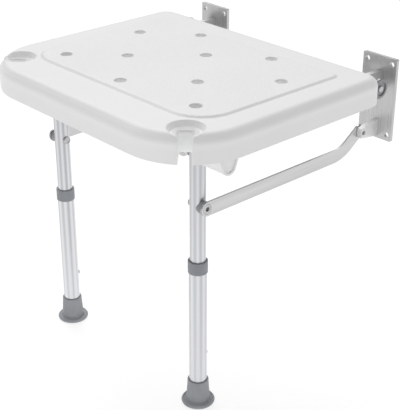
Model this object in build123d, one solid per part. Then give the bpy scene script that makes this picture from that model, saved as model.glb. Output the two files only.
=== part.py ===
from build123d import *
import math
import os

os.makedirs("parts", exist_ok=True)

# Fold-up shower seat: a moulded seat on two wall plates, with two front legs that fold flat under it.
# Frame: X runs along the wall, +Y points into the wall and +Z points up. Lengths are millimetres.
# The origin lies on the wall, midway between the plates and level with the middle of their screw holes.
# Right-hand pieces (X > 0) are drawn, and the left-hand ones are their mirror images.

# Wall plates and the lugs welded to them
plate_width = 60.0
plate_height = 125.0
plate_thickness = 5.0
plate_corner_radius = 2.0
plate_hole_diameter = 8.0
plate_hole_side_margin = 8.0
plate_hole_end_margin = 9.0
plate_lug_offset = 1.5
lug_thickness = 8.0
hinge_lug_wall = 3.3
strut_lug_nose = 5.0
strut_lug_nose_height = 15.0
strut_lug_root_height = 25.5

# Linkage: hinge, leg pivots, strut bolts and strut pivots are the corners of a parallelogram
hinge_reach = 36.5
hinge_rise = 27.5
leg_inset = 77.0
leg_setback = 93.0
leg_pivot_drop = 25.5
link_height = 74.0
leg_height = 387.5

# Fits: a pin that turns in its bearing, and a piece that passes another one freely
running_gap = 0.06
free_gap = 0.3
side_gap = 0.5

# Hinge tube, its bushes and its end caps
hinge_tube_diameter = 19.0
hinge_tube_wall = 1.5
hinge_tube_overhang = 21.0
hinge_bush_wall = 1.0
hinge_bush_flange = 1.2
hinge_bush_rim = 2.0
cap_diameter = 30.0
cap_thickness = 4.0
cap_edge_radius = 1.6
cap_plug_length = 14.0
cap_screw_diameter = 5.0
cap_screw_head_diameter = 9.5
cap_screw_head_height = 2.4
cap_recess_diameter = 21.0
cap_recess = 1.6

# Seat board
seat_width = 456.0
seat_depth = 370.0
seat_hinge_gap = 22.5
seat_rim_lift = 30.5
skirt_height = 38.0
seat_wall = 3.5
edge_radius = 14.0
front_corner_radius = 98.0
rear_corner_radius = 26.0
panel_side_margin = 42.0
panel_front_margin = 64.0
panel_rear_margin = 44.0
panel_rise = 2.2
panel_slope = 4.0
panel_front_radius = 53.0
panel_rear_radius = 14.0
rib_thickness = 3.0
rib_depth = 9.0

# Drain holes in staggered rows, with a short spout under each hole and ribs between the rows
drain_diameter = 16.0
drain_rim_radius = 2.0
drain_spout_wall = 2.0
drain_spout_length = 10.0
drain_column = 74.5
drain_rear_margin = 22.0
drain_rear_pitch = 57.5
drain_middle_margin = 98.5
drain_front_margin = 26.0
drain_corner_margin = 37.5
drain_corner_inset = 47.5
rib_rear_margin = 7.0

# Hand-shower cups in the two front corners
cup_inset = 28.0
cup_radius = 24.5
cup_floor_radius = 19.5
cup_depth = 7.0
cup_rim_radius = 2.0
notch_width = 18.0
notch_setback = 6.0
notch_corner_radius = 3.0
notch_roll_radius = 4.0
notch_sleeve_lift = 2.5

# Saddles moulded behind the seat, which grip the hinge tube
saddle_length = 65.0
saddle_lug_gap = 44.0
saddle_wall = 4.0
saddle_screw_inset = 14.0
saddle_screw_diameter = 4.0
saddle_screw_head_diameter = 8.0
saddle_screw_head_height = 2.2
saddle_screw_tip = 2.0

# Leg bosses under the seat and the pivots in them
boss_radius = 12.0
boss_flare_angle = 20.0
boss_end_gap = 18.0
boss_end_recess = 1.5
boss_end_rim = 3.0
boss_inner_gap = 23.0
boss_inner_cheek = 10.0
boss_outer_cheek = 20.0
boss_side_gap = 1.4
leg_bolt_diameter = 8.0
leg_bolt_head_width = 13.0
leg_bolt_head_height = 5.0
leg_bolt_engagement = 16.0
leg_bolt_hole_gap = 0.6
insert_wall = 2.5
leg_washer_diameter = 16.0
leg_washer_thickness = 1.0

# Legs
upper_tube_diameter = 22.0
tube_wall = 1.2
tube_top_reach = 14.0
plug_depth = 18.0
plug_cap = 2.0
collar_drop = 156.5
collar_height = 18.0
collar_wall = 1.2
collar_lip = 2.0
foot_height = 38.5
foot_top_diameter = 30.0
foot_waist_diameter = 34.0
foot_flange_diameter = 48.0
foot_flange_thickness = 5.0
foot_flange_edge = 1.6
foot_fillet = 3.0
foot_lip = 1.0
foot_sole = 8.0

# Snap buttons, their leaf springs and the row of holes that sets the leg length
button_lift = 77.5
button_diameter = 7.6
button_proud = 3.5
button_flange = 2.6
rivet_diameter = 3.0
rivet_head_diameter = 5.0
rivet_head_height = 0.8
hole_pitch = 20.0
hole_margin = 8.0
upper_tube_tail = 18.0
spring_width = 8.0
spring_thickness = 0.6
spring_back = 8.4
spring_height = 26.0
spring_bend = 3.0

# Struts, the pins that join them to the lugs and the bolts that join them to the legs
strut_width = 20.0
strut_thickness = 3.0
strut_bend_angle = 35.0
strut_bend_radius = 55.0
strut_bush_wall = 1.0
pivot_pin_diameter = 7.0
pivot_pin_sunk = 2.5
pivot_pin_head_diameter = 12.0
pivot_pin_head_height = 2.6
spacer_crown = 5.0
spacer_diameter = 18.0
strut_bolt_diameter = 8.0
strut_bolt_head_diameter = 14.0
strut_bolt_socket_width = 6.0
strut_bolt_socket_depth = 4.0
strut_bolt_sunk = 0.1
strut_nut_diameter = 11.5
strut_nut_height = 2.8
strut_nut_recess = 0.8

# Values worked out from the ones above, from the wall outwards
hinge_y = -hinge_reach
hinge_z = hinge_rise
hinge_r = hinge_tube_diameter / 2
hinge_bore_r = hinge_r - hinge_tube_wall
bush_r = hinge_r + running_gap + hinge_bush_wall
lug_r = bush_r + hinge_lug_wall
leg_x = seat_width / 2 - leg_inset
leg_pivot_z = hinge_z - leg_pivot_drop
floor_z = leg_pivot_z - leg_height
upper_r = upper_tube_diameter / 2
strut_x0 = leg_x + upper_r + spacer_crown
strut_x1 = strut_x0 + strut_thickness
lug_x0 = strut_x1 + side_gap
lug_x1 = lug_x0 + lug_thickness
plate_x = (lug_x0 + lug_x1) / 2 - plate_lug_offset
plate_front_y = -plate_thickness
hinge_end_x = lug_x1 + hinge_tube_overhang

# Seat heights and edges
rim_z = hinge_z + seat_rim_lift
panel_z = rim_z + panel_rise
deck_z = rim_z - seat_wall
skirt_z = rim_z - skirt_height
seat_rear_y = hinge_y - seat_hinge_gap
seat_front_y = seat_rear_y - seat_depth
panel_half_width = seat_width / 2 - panel_side_margin
panel_front_y = seat_front_y + panel_front_margin
panel_rear_y = seat_rear_y - panel_rear_margin
leg_y = seat_front_y + leg_setback
saddle_r = hinge_r + saddle_wall
saddle_outer_x = lug_x0 - hinge_bush_flange - saddle_lug_gap
saddle_inner_x = saddle_outer_x - saddle_length

# Leg pivots, struts and leg tubes
leg_bolt_r = leg_bolt_diameter / 2
insert_r = leg_bolt_r + insert_wall
boss_outer_x = seat_width / 2 - boss_end_gap
boss_slot_inner_x = leg_x - boss_inner_gap
boss_slot_outer_x = leg_x + upper_r + boss_side_gap
boss_inner_x = boss_slot_inner_x - boss_inner_cheek
insert_end_x = boss_slot_outer_x + leg_bolt_engagement
strut_bolt_z = leg_pivot_z - link_height
strut_pivot_z = hinge_z - link_height
pivot_pin_r = pivot_pin_diameter / 2
strut_bush_r = pivot_pin_r + running_gap + strut_bush_wall
strut_bolt_r = strut_bolt_diameter / 2
upper_bore_r = upper_r - tube_wall
lower_bore_r = upper_r + free_gap
lower_r = lower_bore_r + tube_wall
collar_r = lower_r + collar_wall
collar_top_z = leg_pivot_z - collar_drop
collar_end_z = collar_top_z - collar_height
tube_top_z = leg_pivot_z + tube_top_reach
lower_tube_top_z = collar_top_z - collar_lip
lower_tube_end_z = floor_z + foot_sole
button_z = floor_z + button_lift
button_r = button_diameter / 2
button_hole_r = button_r + free_gap
button_root_y = leg_y + upper_bore_r - button_flange
button_tip_y = leg_y + lower_r + button_proud
hole_count = 1 + int((collar_end_z - hole_margin - button_z) // hole_pitch)
upper_tube_end_z = button_z - upper_tube_tail


def rod_x(radius, x0, x1, y, z):
    """Cylinder along X from x0 to x1."""
    return Pos((x0 + x1) / 2, y, z) * Rot(0, 90, 0) * Cylinder(radius, abs(x1 - x0))


def rod_y(radius, y0, y1, x, z):
    """Cylinder along Y from y0 to y1."""
    return Pos(x, (y0 + y1) / 2, z) * Rot(90, 0, 0) * Cylinder(radius, abs(y1 - y0))


def rod_z(radius, z0, z1, x, y):
    """Upright cylinder from z0 to z1."""
    return Pos(x, y, (z0 + z1) / 2) * Cylinder(radius, abs(z1 - z0))


def block(x0, x1, y0, y1, z0, z1):
    """Box between two corners."""
    middle = Pos((x0 + x1) / 2, (y0 + y1) / 2, (z0 + z1) / 2)
    return middle * Box(abs(x1 - x0), abs(y1 - y0), abs(z1 - z0))


def plate_yz(points, x0, x1):
    """Flat piece from x0 to x1 whose outline is drawn in (Y, Z)."""
    face = make_face(Polyline(*points, close=True))
    return Pos(x0, 0, 0) * extrude(Plane.YZ * face, amount=x1 - x0)


def hex_x(width, x0, x1, y, z):
    """Hexagonal bar along X, of the given width across flats."""
    face = RegularPolygon(width / 2, 6, major_radius=False)
    return Pos(x0, y, z) * extrude(Plane.YZ * face, amount=x1 - x0)


def left_of(piece):
    """Left-hand copy of a right-hand piece."""
    return mirror(piece, about=Plane.YZ)


def write(node, piece):
    export_step(piece, f"parts/{node}.step")


def write_pair(name, piece):
    """A right-hand node and its left-hand twin."""
    write(f"right_{name}", piece)
    write(f"left_{name}", left_of(piece))


def write_group(node, pieces):
    """One node that holds identical separate solids on both sides."""
    write(node, Compound(pieces + [left_of(piece) for piece in pieces]))


# Wall plates, lugs, bushes and strut pivots


def wall_plate():
    dx = plate_width / 2 - plate_hole_side_margin
    dz = plate_height / 2 - plate_hole_end_margin
    outline = RectangleRounded(plate_width, plate_height, plate_corner_radius)
    outline -= [Pos(x, z) * Circle(plate_hole_diameter / 2) for x in (-dx, dx) for z in (-dz, dz)]
    return Pos(plate_x, 0, 0) * extrude(Plane.XZ * outline, amount=plate_thickness)


def hinge_lug():
    body = rod_x(lug_r, lug_x0, lug_x1, hinge_y, hinge_z)
    body += block(lug_x0, lug_x1, hinge_y, plate_front_y, hinge_z - lug_r, hinge_z + lug_r)
    return body - rod_x(bush_r, lug_x0, lug_x1, hinge_y, hinge_z)


def hinge_bush():
    x0 = lug_x0 - hinge_bush_flange
    body = rod_x(bush_r, x0, lug_x1, hinge_y, hinge_z)
    body += rod_x(bush_r + hinge_bush_rim, x0, lug_x0, hinge_y, hinge_z)
    return body - rod_x(hinge_r + running_gap, x0, lug_x1, hinge_y, hinge_z)


def strut_lug():
    nose_y = hinge_y - strut_lug_nose
    root = strut_lug_root_height / 2
    nose = strut_lug_nose_height / 2
    outline = [
        (plate_front_y, strut_pivot_z + root),
        (nose_y, strut_pivot_z + nose),
        (nose_y, strut_pivot_z - nose),
        (plate_front_y, strut_pivot_z - root),
    ]
    body = plate_yz(outline, lug_x0, lug_x1)
    return body - rod_x(pivot_pin_r, lug_x0, lug_x1, hinge_y, strut_pivot_z)


def strut_pivot_pin():
    """Pin pressed into the lug, short of its outer face, with a low round head inside the strut."""
    x0 = strut_x0 - side_gap
    x_head = x0 - pivot_pin_head_height
    head = rod_x(pivot_pin_head_diameter / 2, x_head, x0, hinge_y, strut_pivot_z)
    head = fillet(head.edges().group_by(Axis.X)[0], pivot_pin_head_height / 2)
    return head + rod_x(pivot_pin_r, x0, lug_x1 - pivot_pin_sunk, hinge_y, strut_pivot_z)


# Seat board


def rounded_plan(half, y0, y1, front_radius, rear_radius):
    """Rectangle in plan with one radius at the front corners and another at the rear ones."""
    face = make_face(Polyline((-half, y0), (half, y0), (half, y1), (-half, y1), close=True))
    face = fillet(face.vertices().group_by(Axis.Y)[0], front_radius)
    return fillet(face.vertices().group_by(Axis.Y)[-1], rear_radius)


def seat_block(inset, z0, z1):
    """Solid seat shape with a rounded top edge, drawn in by the given inset."""
    plan = rounded_plan(
        seat_width / 2 - inset,
        seat_front_y + inset,
        seat_rear_y - inset,
        front_corner_radius - inset,
        rear_corner_radius - inset,
    )
    body = Pos(0, 0, z0) * extrude(plan, amount=z1 - z0)
    return fillet(body.edges().group_by(Axis.Z)[-1], edge_radius - inset)


def panel_plan(inset):
    return rounded_plan(
        panel_half_width - inset,
        panel_front_y + inset,
        panel_rear_y - inset,
        panel_front_radius - inset,
        panel_rear_radius - inset,
    )


def raised_panel():
    """Non-slip panel: it stands proud of the rim, with a sloping edge all round."""
    low = Pos(0, 0, rim_z) * panel_plan(0)
    high = Pos(0, 0, panel_z) * panel_plan(panel_slope)
    return loft([low, high], ruled=True)


def drain_rows():
    """Y of each row of drain holes and the X of the holes in it, from the back to the front."""
    first = panel_rear_y - drain_rear_margin
    corner_x = panel_half_width - drain_corner_inset
    return [
        (first, (-drain_column, drain_column)),
        (first - drain_rear_pitch, (-2 * drain_column, 0.0, 2 * drain_column)),
        (panel_front_y + drain_middle_margin, (-drain_column, drain_column)),
        (panel_front_y + drain_corner_margin, (-corner_x, corner_x)),
        (panel_front_y + drain_front_margin, (0.0,)),
    ]


def drain_places():
    return [(x, y) for y, xs in drain_rows() for x in xs]


def cup_centre():
    """Plan position of the right-hand cup, on the diagonal of the front corner."""
    reach = (front_corner_radius - cup_inset) * math.sqrt(0.5)
    x = seat_width / 2 - front_corner_radius + reach
    y = seat_front_y + front_corner_radius - reach
    return x, y


def notch(grown, z0, z1):
    """Upright slot from behind the cup's centre out through the corner, grown all round."""
    x, y = cup_centre()
    half = notch_width / 2 + grown
    slot = block(-notch_setback - grown, 3 * cup_inset, -half, half, z0, z1)
    slot = fillet(slot.edges().filter_by(Axis.Z).group_by(Axis.X)[0], notch_corner_radius + grown)
    return Pos(x, y, 0) * Rot(0, 0, -45) * slot


def cup_cone(grown):
    """Dished cup, grown by the given thickness."""
    x, y = cup_centre()
    cone = Cone(cup_floor_radius + grown, cup_radius + grown, cup_depth)
    return Pos(x, y, rim_z - grown - cup_depth / 2) * cone


def boss_outline(inset):
    """U in (Y, Z) round the leg pivot: round below, flared up to the skirt, upright above it."""
    flare = math.radians(boss_flare_angle)
    radius = boss_radius - inset
    half_skirt = (radius + (skirt_z - leg_pivot_z) * math.sin(flare)) / math.cos(flare)
    half_low = radius * math.cos(flare)
    low_z = leg_pivot_z - radius * math.sin(flare)
    right_low = (leg_y + half_low, low_z)
    left_low = (leg_y - half_low, low_z)
    right = [right_low, (leg_y + half_skirt, skirt_z), (leg_y + half_skirt, deck_z)]
    left = [(leg_y - half_skirt, deck_z), (leg_y - half_skirt, skirt_z), left_low]
    sides = Polyline(*right, *left)
    bottom = ThreePointArc(left_low, (leg_y, leg_pivot_z - radius), right_low)
    return make_face([*sides.edges(), *bottom.edges()])


def boss_slice(inset, x0, x1):
    return Pos(x0, 0, 0) * extrude(Plane.YZ * boss_outline(inset), amount=x1 - x0)


def leg_boss():
    """Round-bottomed boss that hangs below the skirt: two cheeks with the leg between them."""
    boss = boss_slice(0, boss_inner_x, boss_slot_inner_x)
    boss += boss_slice(0, boss_slot_outer_x, boss_outer_x)
    boss -= boss_slice(boss_end_rim, boss_outer_x - boss_end_recess, boss_outer_x)
    core = boss_radius - seat_wall
    core_x0 = boss_slot_outer_x + boss_outer_cheek
    core_x1 = boss_outer_x - boss_end_recess - seat_wall
    boss -= block(core_x0, core_x1, leg_y - core, leg_y + core, leg_pivot_z - boss_radius, deck_z)
    boss -= rod_x(leg_bolt_r, boss_inner_x, boss_slot_inner_x, leg_y, leg_pivot_z)
    return boss - rod_x(insert_r, boss_slot_outer_x, insert_end_x, leg_y, leg_pivot_z)


def hinge_saddle():
    """Moulded eye behind the seat that grips the hinge tube."""
    eye = rod_x(saddle_r, saddle_inner_x, saddle_outer_x, hinge_y, hinge_z)
    neck_y = seat_rear_y - seat_wall
    z0 = hinge_z - saddle_r
    z1 = hinge_z + saddle_r
    return eye + block(saddle_inner_x, saddle_outer_x, neck_y, hinge_y, z0, z1)


def seat_ribs():
    """Grid of shallow stiffening ribs under the seat."""
    z0 = deck_z - rib_depth
    half = seat_width / 2
    t = rib_thickness / 2
    rows = [y for y, _ in drain_rows()]
    across = [(y0 + y1) / 2 for y0, y1 in zip(rows[:3], rows[1:4])] + [panel_rear_y + rib_rear_margin]
    along = [i * drain_column / 2 for i in (-3, -1, 1, 3)]
    ribs = [block(-half, half, y - t, y + t, z0, deck_z) for y in across]
    return ribs + [block(x - t, x + t, seat_front_y, seat_rear_y, z0, deck_z) for x in along]


def cup_rolls(board):
    """Edges where the floor of a cup turns down into its notch."""
    x, y = cup_centre()
    floor_z = rim_z - cup_depth
    rolls = []
    for edge in board.edges():
        box = edge.bounding_box()
        middle = edge @ 0.5
        reach = math.hypot(abs(middle.X) - x, middle.Y - y)
        if max(abs(box.min.Z - floor_z), abs(box.max.Z - floor_z)) < 0.01 and reach < cup_floor_radius - 1:
            rolls.append(edge)
    return rolls


def cup_rims(board):
    """Top edges of the cups and of the notches in the rounded edge of the seat."""
    x, y = cup_centre()
    rims = []
    for edge in board.edges():
        box = edge.bounding_box()
        if box.min.Z < rim_z - edge_radius - 0.1 or box.max.Z < deck_z + 0.1:
            continue
        middle = edge @ 0.5
        dx = abs(middle.X) - x
        dy = middle.Y - y
        on_cup = math.hypot(dx, dy) < cup_radius + 0.1
        on_notch = abs(dx + dy) * math.sqrt(0.5) < notch_width / 2 + 0.1
        if on_cup or on_notch and dx > 0:
            rims.append(edge)
    return rims


def seat_board():
    outer = seat_block(0, skirt_z, rim_z)
    board = outer - seat_block(seat_wall, skirt_z - 1, deck_z)
    board += raised_panel()
    within = seat_block(seat_wall / 2, skirt_z, rim_z - seat_wall / 2)
    board += [rib & within for rib in seat_ribs()]
    sleeve = notch(seat_wall, skirt_z + notch_sleeve_lift, rim_z) & within
    cup = cup_cone(seat_wall) & within
    spout_r = drain_diameter / 2 + drain_spout_wall
    spout_z = deck_z - drain_spout_length
    board += [rod_z(spout_r, spout_z, rim_z, x, y) for x, y in drain_places()]
    for piece in (sleeve, cup, leg_boss(), hinge_saddle()):
        board += [piece, left_of(piece)]
    for hollow in (cup_cone(0), notch(0, skirt_z - 1, panel_z)):
        board -= [hollow, left_of(hollow)]
    board = fillet(cup_rolls(board), notch_roll_radius)
    board = fillet(cup_rims(board), cup_rim_radius)
    board -= [rod_z(drain_diameter / 2, spout_z - 1, panel_z + 1, x, y) for x, y in drain_places()]
    board -= rod_x(hinge_r, -saddle_outer_x - 1, saddle_outer_x + 1, hinge_y, hinge_z)
    for screw in saddle_screws():
        board -= [screw, left_of(screw)]
    rims = [e for e in board.edges().filter_by(GeomType.CIRCLE) if abs(e.radius - drain_diameter / 2) < 0.01]
    rims = [e for e in rims if abs(e.arc_center.Z - panel_z) < 0.01]
    return fillet(rims, drain_rim_radius)


# Hinge tube and what is fixed in it


def hinge_tube():
    tube = rod_x(hinge_r, -hinge_end_x, hinge_end_x, hinge_y, hinge_z)
    tube -= rod_x(hinge_bore_r, -hinge_end_x, hinge_end_x, hinge_y, hinge_z)
    for screw in saddle_screws():
        tube -= [screw, left_of(screw)]
    return tube


def hinge_cap():
    """Flanged plastic plug that closes the end of the hinge tube."""
    x1 = hinge_end_x + cap_thickness
    disc = rod_x(cap_diameter / 2, hinge_end_x, x1, hinge_y, hinge_z)
    disc = fillet(disc.edges().group_by(Axis.X)[-1], cap_edge_radius)
    cap = disc + rod_x(hinge_bore_r, hinge_end_x - cap_plug_length, hinge_end_x, hinge_y, hinge_z)
    cap -= rod_x(cap_recess_diameter / 2, x1 - cap_recess, x1, hinge_y, hinge_z)
    return cap - cap_screw()


def cap_screw():
    x_seat = hinge_end_x + cap_thickness - cap_recess
    head = rod_x(cap_screw_head_diameter / 2, x_seat, x_seat + cap_screw_head_height, hinge_y, hinge_z)
    head = fillet(head.edges().group_by(Axis.X)[-1], cap_screw_head_height / 2)
    return head + rod_x(cap_screw_diameter / 2, x_seat - cap_plug_length, x_seat, hinge_y, hinge_z)


def saddle_screws():
    """Screws driven up through a saddle into the hinge tube."""
    z_seat = hinge_z - saddle_r
    z_tip = hinge_z - hinge_bore_r + saddle_screw_tip
    screws = []
    for x in (saddle_inner_x + saddle_screw_inset, saddle_outer_x - saddle_screw_inset):
        screw = rod_z(saddle_screw_diameter / 2, z_seat, z_tip, x, hinge_y)
        head = rod_z(saddle_screw_head_diameter / 2, z_seat - saddle_screw_head_height, z_seat, x, hinge_y)
        screws.append(screw + head)
    return screws


# Leg pivots in the seat bosses


def leg_pivot_bolt():
    bolt = rod_x(leg_bolt_r, boss_inner_x, insert_end_x, leg_y, leg_pivot_z)
    head_x = boss_inner_x - leg_bolt_head_height
    return bolt + hex_x(leg_bolt_head_width, head_x, boss_inner_x, leg_y, leg_pivot_z)


def pivot_ring(radius, x0, x1):
    """Ring on the leg pivot bolt."""
    ring = rod_x(radius, x0, x1, leg_y, leg_pivot_z)
    return ring - rod_x(leg_bolt_r, x0, x1, leg_y, leg_pivot_z)


def leg_pivot_insert():
    return pivot_ring(insert_r, boss_slot_outer_x, insert_end_x)


def leg_pivot_washer():
    return pivot_ring(leg_washer_diameter / 2, boss_slot_outer_x - leg_washer_thickness, boss_slot_outer_x)


def leg_pivot_spacer():
    x1 = leg_x - upper_r - boss_side_gap + leg_washer_thickness
    return pivot_ring(leg_washer_diameter / 2, boss_slot_inner_x, x1)


# Legs


def upper_tube():
    tube = rod_z(upper_r, upper_tube_end_z, tube_top_z, leg_x, leg_y)
    tube -= rod_z(upper_bore_r, upper_tube_end_z, tube_top_z, leg_x, leg_y)
    x0 = leg_x - upper_r
    x1 = leg_x + upper_r
    tube -= rod_x(leg_bolt_r + leg_bolt_hole_gap, x0, x1, leg_y, leg_pivot_z)
    tube -= rod_x(strut_bolt_r, x0, x1, leg_y, strut_bolt_z)
    return tube - rod_y(button_hole_r, leg_y, leg_y + upper_r, leg_x, button_z)


def leg_plug():
    """Plug in the top of the leg: it carries the pivot and closes the tube."""
    plug = rod_z(upper_bore_r, leg_pivot_z - plug_depth, tube_top_z, leg_x, leg_y)
    cap = rod_z(upper_r, tube_top_z, tube_top_z + plug_cap, leg_x, leg_y)
    plug += fillet(cap.edges().group_by(Axis.Z)[-1], plug_cap / 2)
    return plug - rod_x(leg_bolt_r + running_gap, leg_x - upper_r, leg_x + upper_r, leg_y, leg_pivot_z)


def lower_tube():
    tube = rod_z(lower_r, lower_tube_end_z, lower_tube_top_z, leg_x, leg_y)
    tube -= rod_z(lower_bore_r, lower_tube_end_z, lower_tube_top_z, leg_x, leg_y)
    heights = [button_z + i * hole_pitch for i in range(hole_count)]
    return tube - [rod_y(button_hole_r, leg_y, leg_y + lower_r, leg_x, z) for z in heights]


def collar():
    """Sleeve round the top of the lower tube, with a lip that guides the upper tube."""
    z0 = collar_top_z - collar_height
    body = rod_z(collar_r, z0, collar_top_z, leg_x, leg_y)
    body = fillet(body.edges().filter_by(GeomType.CIRCLE), collar_wall * 0.6)
    body -= rod_z(lower_r, z0, lower_tube_top_z, leg_x, leg_y)
    return body - rod_z(lower_bore_r, lower_tube_top_z, collar_top_z, leg_x, leg_y)


def rubber_foot():
    """Flared ferrule, turned about the leg axis: flange, tapering body, socket for the tube."""
    flange_r = foot_flange_diameter / 2
    waist_r = foot_waist_diameter / 2
    top_r = foot_top_diameter / 2
    outline = Polyline(
        (0, 0),
        (flange_r, 0),
        (flange_r, foot_flange_thickness),
        (waist_r, foot_flange_thickness),
        (top_r, foot_height),
        (lower_r, foot_height),
        (lower_r, foot_sole),
        (0, foot_sole),
        close=True,
    )
    body = revolve(Plane.XZ * make_face(outline), Axis.Z)
    rings = body.edges().filter_by(GeomType.CIRCLE)
    body = fillet([e for e in rings if abs(e.radius - flange_r) < 1e-6], foot_flange_edge)
    rings = body.edges().filter_by(GeomType.CIRCLE)
    body = fillet([e for e in rings if abs(e.radius - waist_r) < 1e-6], foot_fillet)
    rings = body.edges().filter_by(GeomType.CIRCLE)
    body = fillet([e for e in rings if abs(e.radius - top_r) < 1e-6], foot_lip)
    return Pos(leg_x, leg_y, floor_z) * body


def snap_button():
    """Domed button riveted to the leaf spring, pushed out through both tubes towards the wall."""
    head = rod_y(button_r, button_root_y, button_tip_y, leg_x, button_z)
    head = fillet(head.edges().group_by(Axis.Y)[-1], button_r * 0.55)
    tail_y = button_root_y - spring_thickness - free_gap
    head += rod_y(rivet_diameter / 2, tail_y, button_root_y, leg_x, button_z)
    return head + rod_y(rivet_head_diameter / 2, tail_y - rivet_head_height, tail_y, leg_x, button_z)


def button_spring():
    """Leaf bent to a V inside the upper tube, with a hole for the button's rivet."""
    t = spring_thickness
    back_y = leg_y - spring_back
    front_y = button_root_y - free_gap / 2 - t
    low_z = button_z - upper_tube_tail + 2 * t
    bend_z = low_z + spring_bend
    straight_z = button_z - button_r
    outline = [
        (back_y, low_z + spring_height),
        (back_y, bend_z),
        (back_y + spring_bend, low_z + t),
        (back_y + 2 * spring_bend, bend_z),
        (front_y, straight_z),
        (front_y, button_z + button_r),
        (front_y + t, button_z + button_r),
        (front_y + t, straight_z - t / 2),
        (back_y + 2 * spring_bend + t, bend_z - t / 2),
        (back_y + spring_bend, low_z),
        (back_y - t / 2, bend_z - t / 2),
        (back_y - t / 2, low_z + spring_height),
    ]
    leaf = plate_yz(outline, leg_x - spring_width / 2, leg_x + spring_width / 2)
    return leaf - rod_y(rivet_diameter / 2 + free_gap, leg_y, button_tip_y, leg_x, button_z)


# Struts and what joins them to the legs


def strut():
    """Flat bar with round ends: level from the leg, then bent upwards to its wall pivot."""
    angle = math.radians(strut_bend_angle)
    corner_y = hinge_y - (strut_pivot_z - strut_bolt_z) / math.tan(angle)
    tangent = strut_bend_radius * math.tan(angle / 2)
    bend_start = (corner_y - tangent, strut_bolt_z)
    bend_end = (corner_y + tangent * math.cos(angle), strut_bolt_z + tangent * math.sin(angle))
    level = Line((leg_y, strut_bolt_z), bend_start)
    bend = TangentArc(bend_start, bend_end, tangent=(1, 0))
    slope = Line(bend_end, (hinge_y, strut_pivot_z))
    path = Wire([level.edge(), bend.edge(), slope.edge()])
    bar = Sketch() + make_face(path.offset_2d(strut_width / 2).edges())
    bar -= Pos(hinge_y, strut_pivot_z) * Circle(strut_bush_r)
    return Pos(strut_x0, 0, 0) * extrude(Plane.YZ * bar, amount=strut_thickness) - bolt_head(free_gap)


def strut_bush():
    ring = rod_x(strut_bush_r, strut_x0, strut_x1, hinge_y, strut_pivot_z)
    return ring - rod_x(pivot_pin_r + running_gap, strut_x0, strut_x1, hinge_y, strut_pivot_z)


def strut_spacer():
    """Saddle between the round leg and the flat strut."""
    x1 = strut_x0 - side_gap
    body = rod_x(spacer_diameter / 2, leg_x, x1, leg_y, strut_bolt_z)
    body -= rod_z(upper_r, strut_bolt_z - spacer_diameter, strut_bolt_z + spacer_diameter, leg_x, leg_y)
    return body - rod_x(strut_bolt_r, leg_x, x1, leg_y, strut_bolt_z)


def bolt_head(grown):
    """Countersunk head of the strut bolt, grown all round: it fills the strut's thickness."""
    cone = Cone(strut_bolt_r + grown, strut_bolt_head_diameter / 2 + grown, strut_thickness)
    return Pos((strut_x0 + strut_x1) / 2, leg_y, strut_bolt_z) * Rot(0, 90, 0) * cone


def strut_bolt():
    """Socket bolt that lies flush in the strut and passes through the spacer and the leg."""
    x_nut = leg_x - upper_r - strut_nut_height
    bolt = bolt_head(0) + rod_x(strut_bolt_r, x_nut + strut_nut_recess, strut_x0, leg_y, strut_bolt_z)
    x_face = strut_x1 - strut_bolt_sunk
    bolt -= rod_x(spacer_diameter, x_face, strut_x1, leg_y, strut_bolt_z)
    x_socket = x_face - strut_bolt_socket_depth
    return bolt - hex_x(strut_bolt_socket_width, x_socket, strut_x1, leg_y, strut_bolt_z)


def strut_nut():
    """Low round nut on the inner side of the leg."""
    x1 = leg_x - upper_r
    nut = rod_x(strut_nut_diameter / 2, x1 - strut_nut_height, x1, leg_y, strut_bolt_z)
    nut = fillet(nut.edges().group_by(Axis.X)[0], strut_nut_height / 3)
    return nut - rod_x(strut_bolt_r, x1 - strut_nut_height, x1, leg_y, strut_bolt_z)


write_pair("wall_plate", wall_plate())
write_pair("hinge_lug", hinge_lug())
write_pair("strut_lug", strut_lug())
write_group("hinge_bushes", [hinge_bush()])
write_group("strut_pivot_pins", [strut_pivot_pin()])

write("seat_board", seat_board())
write("hinge_tube", hinge_tube())
write_group("hinge_caps", [hinge_cap()])
write_group("cap_screws", [cap_screw()])
write_group("saddle_screws", saddle_screws())
write_group("leg_pivot_bolts", [leg_pivot_bolt()])
write_group("leg_pivot_inserts", [leg_pivot_insert()])
write_group("leg_pivot_washers", [leg_pivot_washer()])
write_group("leg_pivot_spacers", [leg_pivot_spacer()])

write_pair("upper_tube", upper_tube())
write_pair("leg_plug", leg_plug())
write_pair("strut_spacer", strut_spacer())
write_pair("strut_bolt", strut_bolt())
write_pair("strut_nut", strut_nut())
write_pair("button_spring", button_spring())
write_pair("snap_button", snap_button())

write_pair("lower_tube", lower_tube())
write_pair("collar", collar())
write_pair("rubber_foot", rubber_foot())

write_pair("strut", strut())
write_pair("strut_bush", strut_bush())
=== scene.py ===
# %% [markdown]
# # A fold-up shower seat, dressed in Blender
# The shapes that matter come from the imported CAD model: a white moulded seat with drain
# holes, two wall plates with lugs, a hinge tube, two telescopic legs and two bent struts.
# This script loads that model as a fixed frame and gives it finishes, turned rubber feet,
# light and a camera. All places are in metres, in the frame of the CAD model.

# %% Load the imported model
import math

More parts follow.
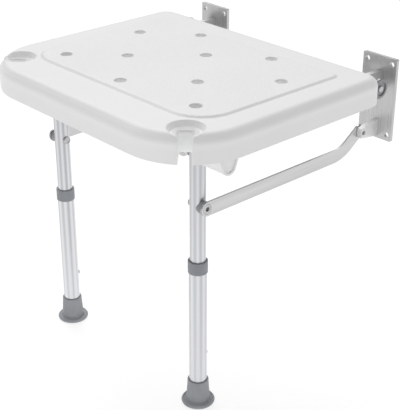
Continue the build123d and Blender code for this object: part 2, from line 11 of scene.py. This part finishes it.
import bpy
import numpy as np
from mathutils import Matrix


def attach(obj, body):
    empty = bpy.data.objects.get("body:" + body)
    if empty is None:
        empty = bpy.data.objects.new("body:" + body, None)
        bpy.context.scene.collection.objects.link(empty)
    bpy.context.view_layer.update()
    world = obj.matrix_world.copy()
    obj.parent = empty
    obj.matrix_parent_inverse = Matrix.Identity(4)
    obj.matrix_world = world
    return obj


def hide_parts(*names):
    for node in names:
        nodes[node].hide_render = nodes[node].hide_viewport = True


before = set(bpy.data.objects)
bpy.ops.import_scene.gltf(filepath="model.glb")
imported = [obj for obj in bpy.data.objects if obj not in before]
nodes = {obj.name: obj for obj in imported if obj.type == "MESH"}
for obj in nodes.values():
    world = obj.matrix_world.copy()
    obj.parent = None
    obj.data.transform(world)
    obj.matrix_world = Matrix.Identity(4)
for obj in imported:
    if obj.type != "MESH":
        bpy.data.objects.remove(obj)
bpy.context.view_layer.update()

# %% [markdown]
# The camera is a long lens, to the right of the seat and above it. Its place was solved from
# the corners of the plates, the seat and the legs, so a piece that is in the right place in
# space is also in the right place in the picture. The lens follows from the focal length in
# pixels and a 36 mm sensor along the longer side of the image.

# %% Camera
IMAGE_SIZE = (400, 410)
FOCAL_PIXELS = 1049.13
CAMERA_PLACE = np.array([1.0589, -1.1577, 0.5396])
CAMERA_AZIMUTH = math.radians(47.655)
CAMERA_HEIGHT_ANGLE = math.radians(26.56)
SENSOR_WIDTH = 36.0
SIDEWAYS_SHIFT = -0.0024
FARTHEST_SEEN = 100.0

lens_data = bpy.data.cameras.new("studio_camera")
lens_data.sensor_width = SENSOR_WIDTH
lens_data.lens = FOCAL_PIXELS / max(IMAGE_SIZE) * SENSOR_WIDTH
lens_data.shift_x = SIDEWAYS_SHIFT
lens_data.clip_end = FARTHEST_SEEN
camera = bpy.data.objects.new("studio_camera", lens_data)
camera.location = CAMERA_PLACE
camera.rotation_euler = (math.pi / 2 - CAMERA_HEIGHT_ANGLE, 0.0, CAMERA_AZIMUTH)
bpy.context.collection.objects.link(camera)
bpy.context.scene.camera = camera
bpy.context.scene.view_settings.view_transform = "Standard"
print("lens:", round(lens_data.lens, 2), "mm")

# %% [markdown]
# Helpers for node trees. A link is written as "from socket, to socket", and a number or a
# colour that is the same all over is set on the socket itself.


# %% Node helpers
def add_node(tree, kind, **settings):
    """One node of the given kind, with the given properties set."""
    node = tree.nodes.new(kind)
    for key, value in settings.items():
        setattr(node, key, value)
    return node


def math_node(tree, operation, a, b=None, clamp=False):
    """A Math node of the given operation on sockets or numbers."""
    node = add_node(tree, "ShaderNodeMath", operation=operation, use_clamp=clamp)
    for socket, value in zip(node.inputs, (a, b)):
        if value is None:
            continue
        if isinstance(value, (int, float)):
            socket.default_value = value
        else:
            tree.links.new(value, socket)
    return node.outputs[0]


def new_group(name, inputs, outputs):
    """An empty shader node group with float or vector inputs and outputs."""
    group = bpy.data.node_groups.new(name, "ShaderNodeTree")
    for label, kind, value in inputs:
        socket = group.interface.new_socket(label, in_out="INPUT", socket_type=kind)
        if value is not None:
            socket.default_value = value
    for label, kind in outputs:
        group.interface.new_socket(label, in_out="OUTPUT", socket_type=kind)
    return group, group.nodes.new("NodeGroupInput"), group.nodes.new("NodeGroupOutput")


# %% [markdown]
# Moulded plastic and rubber are never one even tone: the surface of the mould leaves a fine
# grain, and hands and water leave broad cloudy marks. One group makes both from noise, so
# that each material can take them in its own strength.

# %% Group: moulded surface
FLOAT = "NodeSocketFloat"
VECTOR = "NodeSocketVector"
moulded, group_in, group_out = new_group(
    "moulded_surface",
    [
        ("Vector", VECTOR, None),
        ("Grain per metre", FLOAT, 900.0),
        ("Clouds per metre", FLOAT, 9.0),
    ],
    [("Grain", FLOAT), ("Clouds", FLOAT)],
)
grain = add_node(moulded, "ShaderNodeTexNoise")
grain.inputs["Detail"].default_value = 3.0
clouds = add_node(moulded, "ShaderNodeTexNoise")
clouds.inputs["Detail"].default_value = 4.0
clouds.inputs["Roughness"].default_value = 0.6
for noise, label in ((grain, "Grain"), (clouds, "Clouds")):
    moulded.links.new(group_in.outputs["Vector"], noise.inputs["Vector"])
    moulded.links.new(group_in.outputs[f"{label} per metre"], noise.inputs["Scale"])
    moulded.links.new(noise.outputs["Fac"], group_out.inputs[label])
print("group:", moulded.name)

# %% [markdown]
# Drawn tube and brushed sheet carry fine lines in one direction. The group stretches noise
# along that direction: the vector is multiplied by a large number across the lines and by a
# small one along them. Broader bands, made in the same way, vary the tone.

# %% Group: drawn lines
drawn, group_in, group_out = new_group(
    "drawn_lines",
    [
        ("Vector", VECTOR, None),
        ("Lines per metre", VECTOR, (1400.0, 1400.0, 6.0)),
        ("Bands per metre", VECTOR, (60.0, 60.0, 1.5)),
    ],
    [("Lines", FLOAT), ("Bands", FLOAT)],
)
for label in ("Lines", "Bands"):
    stretch = add_node(drawn, "ShaderNodeVectorMath", operation="MULTIPLY")
    drawn.links.new(group_in.outputs["Vector"], stretch.inputs[0])
    drawn.links.new(group_in.outputs[f"{label} per metre"], stretch.inputs[1])
    noise = add_node(drawn, "ShaderNodeTexNoise")
    noise.inputs["Scale"].default_value = 1.0
    noise.inputs["Detail"].default_value = 3.0
    drawn.links.new(stretch.outputs[0], noise.inputs["Vector"])
    drawn.links.new(noise.outputs["Fac"], group_out.inputs[label])
print("group:", drawn.name)

# %% [markdown]
# Every finish starts in the same way: a Principled shader, Object coordinates, and a colour
# and a roughness that run between two values. Noise seldom leaves the middle of its range, so
# both run from one value to the other while the mask goes from 0.3 to 0.7.

# %% Finish helpers
RAMP_START = 0.3
RAMP_END = 0.7


def start_finish(name, metallic=0.0, **constants):
    """A new material: its tree, its Principled node and its Object coordinates."""
    material = bpy.data.materials.new(name)
    material.use_nodes = True
    tree = material.node_tree
    shader = tree.nodes["Principled BSDF"]
    shader.inputs["Metallic"].default_value = metallic
    for label, value in constants.items():
        shader.inputs[label.replace("_", " ")].default_value = value
    place = add_node(tree, "ShaderNodeTexCoord").outputs["Object"]
    return material, tree, shader, place


def use_group(tree, group, place, **values):
    """One copy of a group, fed with the piece's coordinates and its own values."""
    node = add_node(tree, "ShaderNodeGroup")
    node.node_tree = group
    tree.links.new(place, node.inputs["Vector"])
    for label, value in values.items():
        node.inputs[label.replace("_", " ")].default_value = value
    return node.outputs


def colour_between(tree, shader, mask, dark, light):
    """Base Color runs from dark to light as the mask runs along the ramp."""
    ramp = add_node(tree, "ShaderNodeValToRGB")
    stops = ((RAMP_START, dark), (RAMP_END, light))
    for element, (position, colour) in zip(ramp.color_ramp.elements, stops):
        element.position = position
        element.color = (*colour, 1.0)
    tree.links.new(mask, ramp.inputs[0])
    tree.links.new(ramp.outputs[0], shader.inputs["Base Color"])


def roughness_between(tree, shader, mask, low, high):
    """Roughness runs from low to high as the mask runs along the ramp."""
    span = add_node(tree, "ShaderNodeMapRange")
    span.inputs["From Min"].default_value = RAMP_START
    span.inputs["From Max"].default_value = RAMP_END
    span.inputs["To Min"].default_value = low
    span.inputs["To Max"].default_value = high
    tree.links.new(mask, span.inputs["Value"])
    tree.links.new(span.outputs[0], shader.inputs["Roughness"])


def relief(tree, shader, height, distance, strength):
    """A Bump node that reads a height of 0 to 1 and stands the given distance proud."""
    bump = add_node(tree, "ShaderNodeBump")
    bump.inputs["Distance"].default_value = distance
    bump.inputs["Strength"].default_value = strength
    tree.links.new(height, bump.inputs["Height"])
    tree.links.new(bump.outputs[0], shader.inputs["Normal"])


# %% [markdown]
# Many masks are made from a point's coordinates: how far along it lies between two values, or
# how far it is from a line. These helpers write such sums as nodes.


# %% Mask helpers
def separate(tree, place):
    """The coordinates X, Y and Z of a place, each on its own."""
    node = add_node(tree, "ShaderNodeSeparateXYZ")
    tree.links.new(place, node.inputs[0])
    return node.outputs["X"], node.outputs["Y"], node.outputs["Z"]


def scaled(tree, value, factor, offset):
    """The value times factor, plus offset."""
    return math_node(tree, "ADD", math_node(tree, "MULTIPLY", value, factor), offset)


def mask_between(tree, value, start, end):
    """0 where the value is at start or before it, 1 at end or past it, and even in between."""
    off_start = math_node(tree, "SUBTRACT", value, start)
    return math_node(tree, "MULTIPLY", off_start, 1.0 / (end - start), clamp=True)


def all_of(tree, first, *others):
    """Masks multiplied: 1 only where every one of them is 1."""
    for mask in others:
        first = math_node(tree, "MULTIPLY", first, mask)
    return first


def vector_length(tree, a, b):
    """The length of the vector (a, b), the square root of a * a + b * b."""
    squares = [math_node(tree, "MULTIPLY", v, v) for v in (a, b)]
    return math_node(tree, "SQRT", math_node(tree, "ADD", *squares))


# %% [markdown]
# The seat is satin white plastic. Its raised panel is pebbled, so that wet skin doesn't slip,
# and the rim round it is smooth. The pebbles are the distance to the nearest of many
# scattered points, and a mask keeps them on the panel: it is 1 where the point is high enough
# and well inside the panel's four sides.

# %% White seat: the pebbled panel
PANEL_HALF_WIDTH = 0.186
PANEL_FRONT = -0.365
PANEL_REAR = -0.103
PANEL_EDGE = 0.006
PANEL_LEAST_HEIGHT = 0.059
SOFT_EDGE = 0.002
PEBBLES_PER_METRE = 420.0
PEBBLE_HEIGHT = 0.0006
PEBBLE_STRENGTH = 0.85
GRAIN_SHARE = 0.12

seat_white, tree, shader, place = start_finish("white_seat", Specular_IOR_Level=0.45)
surface = use_group(tree, moulded, place, Grain_per_metre=700.0, Clouds_per_metre=7.0)
roughness_between(tree, shader, surface["Grain"], low=0.40, high=0.50)
x, y, z = separate(tree, place)
x_side = math_node(tree, "ABSOLUTE", x)
x_room = math_node(tree, "SUBTRACT", PANEL_HALF_WIDTH, x_side)
front_room = math_node(tree, "SUBTRACT", y, PANEL_FRONT)
rear_room = math_node(tree, "SUBTRACT", PANEL_REAR, y)
room = math_node(tree, "MINIMUM", math_node(tree, "MINIMUM", x_room, front_room), rear_room)
inside = mask_between(tree, room, PANEL_EDGE, PANEL_EDGE + SOFT_EDGE)
on_panel = all_of(tree, inside, math_node(tree, "GREATER_THAN", z, PANEL_LEAST_HEIGHT))
pebbles = add_node(tree, "ShaderNodeTexVoronoi", feature="SMOOTH_F1")
pebbles.inputs["Scale"].default_value = PEBBLES_PER_METRE
tree.links.new(place, pebbles.inputs["Vector"])
pebble_height = math_node(tree, "MULTIPLY", pebbles.outputs["Distance"], on_panel)
fine_height = math_node(tree, "MULTIPLY", surface["Grain"], GRAIN_SHARE)
height = math_node(tree, "ADD", pebble_height, fine_height)
relief(tree, shader, height, PEBBLE_HEIGHT, PEBBLE_STRENGTH)
print("finish:", seat_white.name, "with a pebbled panel")

# %% [markdown]
# Light is painted into the seat's tone. The lower part of the rounding from the rim to the
# skirt is painted paler, a painted light, and so is the front skirt. The rounding lies close
# to the outline, which is a rectangle with round front corners: past a corner's middle, the
# distance to the outline is the corner's radius less the distance to that middle.

# %% White seat: painted light on the rounding and front skirt
SEAT_HALF_WIDTH = 0.228
SEAT_FRONT = -0.429
SEAT_REAR = -0.059
SEAT_CORNER = 0.098
ROUNDING_REACH = 0.012
ROUNDING_TOP = (0.056, 0.053)
ROUNDING_FOOT = (0.036, 0.044)
FRONT_SKIRT_START = -0.390
FRONT_SKIRT_TOP = (0.056, 0.054)

corner_x = math_node(tree, "SUBTRACT", x_side, SEAT_HALF_WIDTH - SEAT_CORNER)
corner_y = math_node(tree, "SUBTRACT", SEAT_FRONT + SEAT_CORNER, y)
past_corner = [math_node(tree, "MAXIMUM", v, 0.0) for v in (corner_x, corner_y)]
past_front = math_node(tree, "SUBTRACT", vector_length(tree, *past_corner), SEAT_CORNER)
past_rear = math_node(tree, "SUBTRACT", y, SEAT_REAR)
past_edge = math_node(tree, "MAXIMUM", past_front, past_rear)
# Painted light: the lower part of the rounding is made paler.
painted_rounding_light = all_of(
    tree,
    mask_between(tree, z, *ROUNDING_TOP),
    mask_between(tree, z, *ROUNDING_FOOT),
    mask_between(tree, past_edge, -ROUNDING_REACH, SOFT_EDGE - ROUNDING_REACH),
)
# Painted light: the front skirt is made paler.
painted_front_skirt_light = all_of(
    tree,
    mask_between(tree, y, FRONT_SKIRT_START, SEAT_FRONT),
    mask_between(tree, z, *FRONT_SKIRT_TOP),
)
print("masks: rounding and front skirt")

# %% [markdown]
# Each front corner has a round cup that drains through a slot. The walls of the cup and of the
# slot are painted paler than the rest, a painted light in these hollows, and the cup's floor
# is painted darker, a painted shade. The cup's masks go by the distance to its middle, and the
# slot's by the distance along the corner's diagonal and across it.

# %% White seat: painted light and shade in cups and slots
CUP_X = 0.1795
CUP_Y = -0.3805
CUP_FLOOR_RADIUS = 0.0195
CUP_FLOOR_INSIDE = 0.0155
CUP_FLOOR_LEVEL = (0.049, 0.051)
CUP_RIM_RADIUS = 0.0265
CUP_WALL_TOP = (0.0578, 0.0565)
SLOT_HALF_WIDTH = 0.0093
SLOT_SETBACK = 0.0065
SLOT_TOP = (0.0505, 0.0475)

cup_x = math_node(tree, "SUBTRACT", x_side, CUP_X)
cup_y = math_node(tree, "SUBTRACT", y, CUP_Y)
from_middle = vector_length(tree, cup_x, cup_y)
in_floor = mask_between(tree, from_middle, CUP_FLOOR_RADIUS, CUP_FLOOR_INSIDE)
in_cup = mask_between(tree, from_middle, CUP_RIM_RADIUS, CUP_RIM_RADIUS - SOFT_EDGE)
off_floor = math_node(tree, "SUBTRACT", 1.0, in_floor)
# Painted shade on the cup's floor, painted light on its walls.
painted_cup_floor_shade = all_of(tree, in_floor, mask_between(tree, z, *CUP_FLOOR_LEVEL))
painted_cup_wall_light = all_of(tree, in_cup, off_floor, mask_between(tree, z, *CUP_WALL_TOP))
diagonal = math.sqrt(0.5)
along = math_node(tree, "MULTIPLY", math_node(tree, "SUBTRACT", cup_x, cup_y), diagonal)
across = math_node(tree, "MULTIPLY", math_node(tree, "ADD", cup_x, cup_y), diagonal)
# Painted light on the walls of the slot.
painted_slot_light = all_of(
    tree,
    math_node(tree, "LESS_THAN", math_node(tree, "ABSOLUTE", across), SLOT_HALF_WIDTH),
    math_node(tree, "GREATER_THAN", along, -SLOT_SETBACK),
    mask_between(tree, z, *SLOT_TOP),
)
print("masks: cup floors, cup walls and slot walls")

# %% [markdown]
# The masks now change the tone of the cloudy white, each by its own amount.

# %% White seat: tone with painted light and shade
CLOUD_SHARE = 0.09
SEAT_TONE = 0.524

tone = scaled(tree, surface["Clouds"], CLOUD_SHARE, SEAT_TONE)
# Painted light and shade: paler rounding, front skirt, cup and slot walls; darker cup floors.
for mask, change in (
    (painted_rounding_light, 0.05),
    (painted_front_skirt_light, 0.10),
    (painted_cup_wall_light, 0.10),
    (painted_cup_floor_shade, -0.24),
    (painted_slot_light, 0.18),
):
    tone = math_node(tree, "ADD", tone, math_node(tree, "MULTIPLY", mask, change))
colour_between(tree, shader, tone, dark=(0.66, 0.668, 0.664), light=(0.96, 0.968, 0.964))
print("finish:", seat_white.name, "with its tones")

# %% [markdown]
# The plates are brushed stainless steel. The lugs on them are duller, and those of the struts
# are painted paler than those of the hinge, a painted light on their side faces. The fasteners
# are brighter, and the inserts in the seat are brass. One function makes them all: the tone
# follows the broad bands, and the gloss and the relief follow the fine lines.

# %% Metals
LINE_STRENGTH = 0.35


def drawn_metal(name, dark, light, rough, lines, bands, proud, metallic=1.0):
    """A bare metal with lines in one direction. The tone runs from dark to light across its
    bands, and the roughness from rough[0] to rough[1] across its lines, which stand proud."""
    material, tree, shader, place = start_finish(name, metallic=metallic)
    surface = use_group(tree, drawn, place, Lines_per_metre=lines, Bands_per_metre=bands)
    colour_between(tree, shader, surface["Bands"], dark, light)
    roughness_between(tree, shader, surface["Lines"], *rough)
    relief(tree, shader, surface["Lines"], proud, LINE_STRENGTH)
    print("finish:", name)
    return material


plate_metal = drawn_metal(
    "brushed_plate", dark=(0.53, 0.53, 0.53), light=(0.61, 0.61, 0.61),
    rough=(0.26, 0.38), lines=(1300.0, 900.0, 9.0), bands=(70.0, 40.0, 6.0),
    proud=0.00008, metallic=0.7,
)
lug_metal = drawn_metal(
    "satin_lug", dark=(0.56, 0.56, 0.56), light=(0.66, 0.66, 0.66),
    rough=(0.40, 0.55), lines=(900.0, 900.0, 9.0), bands=(40.0, 40.0, 12.0),
    proud=0.00008, metallic=0.5,
)
# Painted light: the strut lugs are made paler than the hinge lugs, for the light on their side
# faces.
strut_lug_painted_light = drawn_metal(
    "pale_lug_painted_light", dark=(0.76, 0.76, 0.76), light=(0.88, 0.88, 0.88),
    rough=(0.40, 0.55), lines=(900.0, 900.0, 9.0), bands=(40.0, 40.0, 12.0),
    proud=0.00008, metallic=0.5,
)
bright_metal = drawn_metal(
    "bright_fastener", dark=(0.44, 0.44, 0.45), light=(0.58, 0.58, 0.59),
    rough=(0.16, 0.28), lines=(300.0, 900.0, 900.0), bands=(90.0, 90.0, 90.0),
    proud=0.00004,
)
insert_metal = drawn_metal(
    "turned_brass", dark=(0.62, 0.46, 0.20), light=(0.76, 0.60, 0.31),
    rough=(0.22, 0.34), lines=(1500.0, 200.0, 200.0), bands=(200.0, 40.0, 40.0),
    proud=0.00005,
)

# %% [markdown]
# The struts are satin steel strip. Their broad faces are evenly bright, and the narrow edge
# faces between them are painted darker, a painted shade. A point is on an edge if it lies well
# inside the strip's thickness, so a mask from the distance to the strip's middle plane tells
# the two apart.

# %% Struts
STRUT_MIDDLE_X = 0.1685
STRUT_EDGE_HALF = 0.0013
STRUT_BAND_SHARE = 0.2
STRUT_FACE_TONE = 0.56
STRUT_EDGE_SHADE = -0.2
STRIP_LINE_HEIGHT = 0.00006

strut_metal, tree, shader, place = start_finish("satin_strut", metallic=1.0)
surface = use_group(
    tree,
    drawn,
    place,
    Lines_per_metre=(900.0, 9.0, 900.0),
    Bands_per_metre=(60.0, 4.0, 120.0),
)
x_side = math_node(tree, "ABSOLUTE", separate(tree, place)[0])
off_middle = math_node(tree, "ABSOLUTE", math_node(tree, "SUBTRACT", x_side, STRUT_MIDDLE_X))
on_edge = math_node(tree, "LESS_THAN", off_middle, STRUT_EDGE_HALF)
face_tone = scaled(tree, surface["Bands"], STRUT_BAND_SHARE, STRUT_FACE_TONE)
# Painted shade: the edge faces are made darker.
painted_edge_shade = math_node(tree, "MULTIPLY", on_edge, STRUT_EDGE_SHADE)
tone = math_node(tree, "ADD", face_tone, painted_edge_shade)
colour_between(tree, shader, tone, dark=(0.30, 0.30, 0.305), light=(0.66, 0.66, 0.665))
roughness_between(tree, shader, surface["Lines"], low=0.34, high=0.46)
relief(tree, shader, surface["Lines"], STRIP_LINE_HEIGHT, LINE_STRENGTH)
print("finish:", strut_metal.name)

# %% [markdown]
# The leg tubes are anodised aluminium, a touch bluer than steel. They are extruded. Bright and
# dull stripes along the tube are painted reflections: a cosine of the angle round the leg's
# own axis, disturbed a little by the drawn bands so that they aren't regular. The tube is also
# painted paler towards the bottom, a painted reflection of the white floor.

# %% Leg tubes
LEG_X = 0.151
LEG_Y = -0.336
REFLECTION_STRIPES = 9
REFLECTION_TURN = 0.738
REFLECTION_DEPTH = 0.16
FLOOR_REFLECTION_BELOW = -0.1
FLOOR_REFLECTION_PER_METRE = 0.75
TUBE_BAND_SHARE = 0.3
TUBE_TONE = 0.33
TUBE_LINE_HEIGHT = 0.00006

tube_metal, tree, shader, place = start_finish("anodised_tube", metallic=1.0)
surface = use_group(
    tree,
    drawn,
    place,
    Lines_per_metre=(1400.0, 1400.0, 6.0),
    Bands_per_metre=(260.0, 260.0, 1.0),
)
x, y, z = separate(tree, place)
leg_x = math_node(tree, "MULTIPLY", math_node(tree, "SIGN", x), LEG_X)
off_x = math_node(tree, "SUBTRACT", x, leg_x)
off_y = math_node(tree, "SUBTRACT", y, LEG_Y)
# Painted reflections: bright and dull stripes round the tube.
angle = math_node(tree, "ADD", math_node(tree, "ARCTAN2", off_y, off_x), REFLECTION_TURN)
reflection_wave = math_node(tree, "COSINE", math_node(tree, "MULTIPLY", angle, float(REFLECTION_STRIPES)))
streak = scaled(tree, surface["Bands"], TUBE_BAND_SHARE, TUBE_TONE)
streaks_and_reflections = math_node(tree, "ADD", streak, math_node(tree, "MULTIPLY", reflection_wave, REFLECTION_DEPTH))
# Painted reflection of the floor: paler towards the bottom.
below = math_node(tree, "SUBTRACT", FLOOR_REFLECTION_BELOW, z)
tone = math_node(tree, "ADD", streaks_and_reflections, math_node(tree, "MULTIPLY", below, FLOOR_REFLECTION_PER_METRE))
colour_between(tree, shader, tone, dark=(0.50, 0.505, 0.525), light=(0.76, 0.765, 0.785))
roughness_between(tree, shader, surface["Lines"], low=0.28, high=0.40)
relief(tree, shader, surface["Lines"], TUBE_LINE_HEIGHT, LINE_STRENGTH)
print("finish:", tube_metal.name)

# %% [markdown]
# The collars and spacers are blue-grey plastic, the caps on the hinge tube are a glossy kind
# of it, the feet are rubber of the same colour but duller, and the hidden bushes and plugs are
# natural nylon. They share the moulded surface group, each with its own grain.

# %% Plastics and rubber
SMALL_PART_CLOUDS = 40.0
GRAIN_STRENGTH = 0.5


def moulded_finish(name, dark, light, rough, grain, proud, coat=0.0):
    """A moulded plastic or rubber: cloudy colour from dark to light, grainy gloss from
    rough[0] to rough[1], and a fine relief that stands proud."""
    material, tree, shader, place = start_finish(
        name, Specular_IOR_Level=0.4, Coat_Weight=coat
    )
    surface = use_group(
        tree, moulded, place, Grain_per_metre=grain, Clouds_per_metre=SMALL_PART_CLOUDS
    )
    colour_between(tree, shader, surface["Clouds"], dark, light)
    roughness_between(tree, shader, surface["Grain"], *rough)
    relief(tree, shader, surface["Grain"], proud, GRAIN_STRENGTH)
    print("finish:", name)
    return material


grey_plastic = moulded_finish(
    "grey_plastic", dark=(0.275, 0.287, 0.312), light=(0.318, 0.330, 0.355),
    rough=(0.38, 0.5), grain=1100.0, proud=0.00008,
)
grey_rubber = moulded_finish(
    "grey_rubber", dark=(0.330, 0.341, 0.366), light=(0.392, 0.403, 0.428),
    rough=(0.55, 0.72), grain=1300.0, proud=0.00016,
)
glossy_cap = moulded_finish(
    "glossy_cap", dark=(0.20, 0.205, 0.215), light=(0.26, 0.265, 0.275),
    rough=(0.16, 0.24), grain=600.0, proud=0.00003, coat=0.8,
)
nylon = moulded_finish(
    "pale_nylon", dark=(0.69, 0.69, 0.67), light=(0.77, 0.77, 0.75),
    rough=(0.38, 0.5), grain=900.0, proud=0.00008,
)

# %% [markdown]
# Each CAD piece now gets its finish. The rule goes by the piece's name without its side.

# %% Finishes on the CAD pieces
FINISH_OF = {
    "seat_board": seat_white,
    "upper_tube": tube_metal,
    "lower_tube": tube_metal,
    "strut": strut_metal,
    "wall_plate": plate_metal,
    "hinge_lug": lug_metal,
    "strut_lug": strut_lug_painted_light,
    "hinge_tube": plate_metal,
    "hinge_bushes": nylon,
    "leg_plug": nylon,
    "strut_bush": nylon,
    "leg_pivot_washers": nylon,
    "leg_pivot_spacers": nylon,
    "leg_pivot_inserts": insert_metal,
    "collar": grey_plastic,
    "hinge_caps": glossy_cap,
    "strut_spacer": grey_plastic,
    "rubber_foot": grey_rubber,
}
for name, piece in nodes.items():
    bare_name = name.removeprefix("left_").removeprefix("right_")
    finish = FINISH_OF.get(bare_name, bright_metal)
    piece.data.materials.clear()
    piece.data.materials.append(finish)
print("dressed:", len(nodes))

# %% [markdown]
# The rubber feet are moulded, so nothing on them is sharp: the lip round the tube is rounded,
# the body flares a little, and a soft bead runs round the flange with a groove inside it. A
# lathe shape is the natural way: a profile in radius and height, turned about the leg's axis.
# The corners of the profile are rounded first, each with an arc that touches both its sides.


# %% Turned shapes
def rounded_profile(corners, radii, arc_steps=8):
    """Polyline with arcs at its corners: an arc of radius r starts r / tan(half angle) before
    the corner and ends as far behind it, and its points turn evenly about the arc's centre."""
    corners = np.asarray(corners, float)
    pieces = [corners[:1]]
    for before, corner, after, radius in zip(corners[:-2], corners[1:-1], corners[2:], radii):
        if radius <= 0.0:
            pieces.append(corner[None])
            continue
        u = (before - corner) / np.linalg.norm(before - corner)
        v = (after - corner) / np.linalg.norm(after - corner)
        half = 0.5 * math.acos(float(np.clip(u @ v, -1.0, 1.0)))
        reach = radius / math.tan(half)
        middle = (u + v) / np.linalg.norm(u + v)
        centre = corner + middle * radius / math.sin(half)
        start = corner + u * reach - centre
        left_or_right = np.sign(start[1] * middle[0] - start[0] * middle[1])
        angles = np.linspace(0.0, (math.pi - 2.0 * half) * left_or_right, arc_steps + 1)
        arc = np.stack(
            [
                start[0] * np.cos(angles) - start[1] * np.sin(angles),
                start[0] * np.sin(angles) + start[1] * np.cos(angles),
            ],
            axis=1,
        )
        pieces.append(centre + arc)
    pieces.append(corners[-1:])
    return np.concatenate(pieces)


def turned_mesh(name, profile, axis_x, axis_y, steps=96):
    """Surface of revolution: point (r, z) at angle a lies at (r cos a, r sin a, z). The
    profile starts and ends on the axis, so each end is one point with a fan of triangles."""
    angles = 2.0 * np.pi * np.arange(steps) / steps
    r, z = profile[1:-1, 0, None], profile[1:-1, 1, None]
    rings = np.stack([r * np.cos(angles), r * np.sin(angles), z + 0.0 * angles], axis=2)
    ends = np.array([[0.0, 0.0, profile[0, 1]], [0.0, 0.0, profile[-1, 1]]])
    points = np.concatenate([rings.reshape(-1, 3), ends]) + np.array([axis_x, axis_y, 0.0])
    rows = len(profile) - 2
    here = np.arange(steps)
    there = (here + 1) % steps
    ring = steps * np.arange(rows - 1)[:, None]
    above = ring + steps
    quads = np.stack([ring + here, ring + there, above + there, above + here], axis=2)
    last = steps * (rows - 1)
    first_end, last_end = len(points) - 2, len(points) - 1
    first_fan = np.stack([np.full(steps, first_end), there, here], axis=1)
    last_fan = np.stack([last + here, last + there, np.full(steps, last_end)], axis=1)
    faces = quads.reshape(-1, 4).tolist() + first_fan.tolist() + last_fan.tolist()
    mesh = bpy.data.meshes.new(name)
    mesh.from_pydata(points.tolist(), [], faces)
    mesh.polygons.foreach_set("use_smooth", np.ones(len(mesh.polygons), bool))
    mesh.update()
    return mesh


# %% [markdown]
# The foot's profile runs from the middle of the sole, round the flange's bead and up the body
# to the lip, then down inside the socket where the tube ends, and back to the axis.

# %% Rubber feet
FLOOR = -0.3855
MILLIMETRE = 0.001
FOOT_CORNERS = [
    (0.0, 0.0),
    (22.9, 0.0),
    (24.0, 3.0),
    (22.3, 5.3),
    (21.2, 5.3),
    (20.3, 4.5),
    (17.0, 4.5),
    (15.0, 34.0),
    (15.0, 38.5),
    (12.52, 38.5),
    (12.52, 8.0),
    (0.0, 8.0),
]
FOOT_ROUNDING = [0.9, 1.4, 0.8, 0.35, 0.4, 2.6, 6.0, 1.3, 0.8, 0.0]
foot_profile = rounded_profile(FOOT_CORNERS, FOOT_ROUNDING) * MILLIMETRE
foot_profile[:, 1] += FLOOR
print("profile points:", len(foot_profile))
for side, sign in (("left", -1.0), ("right", 1.0)):
    mesh = turned_mesh(f"{side}_turned_foot", foot_profile, sign * LEG_X, LEG_Y)
    mesh.materials.append(grey_rubber)
    foot = bpy.data.objects.new(f"{side}_turned_foot", mesh)
    bpy.context.collection.objects.link(foot)
    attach(foot, f"{side}_leg_end")
    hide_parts(f"{side}_rubber_foot")
    print("foot:", foot.name, "faces:", len(mesh.polygons))

# %% [markdown]
# The floor is a wide white disc, just below the feet. It glows a little, so that the shadows
# on it stay faint, as in a product picture.

# %% Floor
WHITE = (1.0, 1.0, 1.0, 1.0)
FLOOR_RADIUS = 40.0
FLOOR_GAP = 0.0004
FLOOR_SIDES = 64
FLOOR_GLOW = 0.75

angles = 2.0 * np.pi * np.arange(FLOOR_SIDES) / FLOOR_SIDES
rim = np.stack([np.cos(angles), np.sin(angles), 0.0 * angles], axis=1) * FLOOR_RADIUS
rim[:, 2] = FLOOR - FLOOR_GAP
floor_mesh = bpy.data.meshes.new("studio_floor")
floor_mesh.from_pydata(rim.tolist(), [], [list(range(FLOOR_SIDES))])
floor = bpy.data.objects.new("studio_floor", floor_mesh)
bpy.context.collection.objects.link(floor)
floor_finish, tree, shader, place = start_finish("studio_floor", Emission_Strength=FLOOR_GLOW)
shader.inputs["Emission Color"].default_value = WHITE
surface = use_group(tree, moulded, place, Grain_per_metre=60.0, Clouds_per_metre=0.7)
colour_between(
    tree, shader, surface["Clouds"], dark=(0.31, 0.31, 0.31), light=(0.33, 0.33, 0.33)
)
roughness_between(tree, shader, surface["Grain"], low=0.8, high=0.9)
floor_mesh.materials.append(floor_finish)
print("floor at", FLOOR)

# %% [markdown]
# The light is that of a pale room with one broad lamp far away at the upper left, behind the
# seat. The lamp is a sun with a wide disc, because its light is even over the whole floor.

# %% Light
ROOM_BRIGHTNESS = 0.48
LAMP_ENERGY = 1.6
LAMP_DISC = math.radians(50.0)
LAMP_TILT = math.radians(42.0)
LAMP_TURN = math.radians(60.0)

world = bpy.data.worlds.new("pale_room")
world.use_nodes = True
background = world.node_tree.nodes["Background"]
background.inputs["Color"].default_value = WHITE
background.inputs["Strength"].default_value = ROOM_BRIGHTNESS
bpy.context.scene.world = world

lamp_data = bpy.data.lights.new("upper_left_lamp", "SUN")
lamp_data.energy = LAMP_ENERGY
lamp_data.angle = LAMP_DISC
lamp = bpy.data.objects.new("upper_left_lamp", lamp_data)
lamp.rotation_euler = (LAMP_TILT, 0.0, LAMP_TURN + math.pi)
bpy.context.collection.objects.link(lamp)
print("one lamp in a pale room")
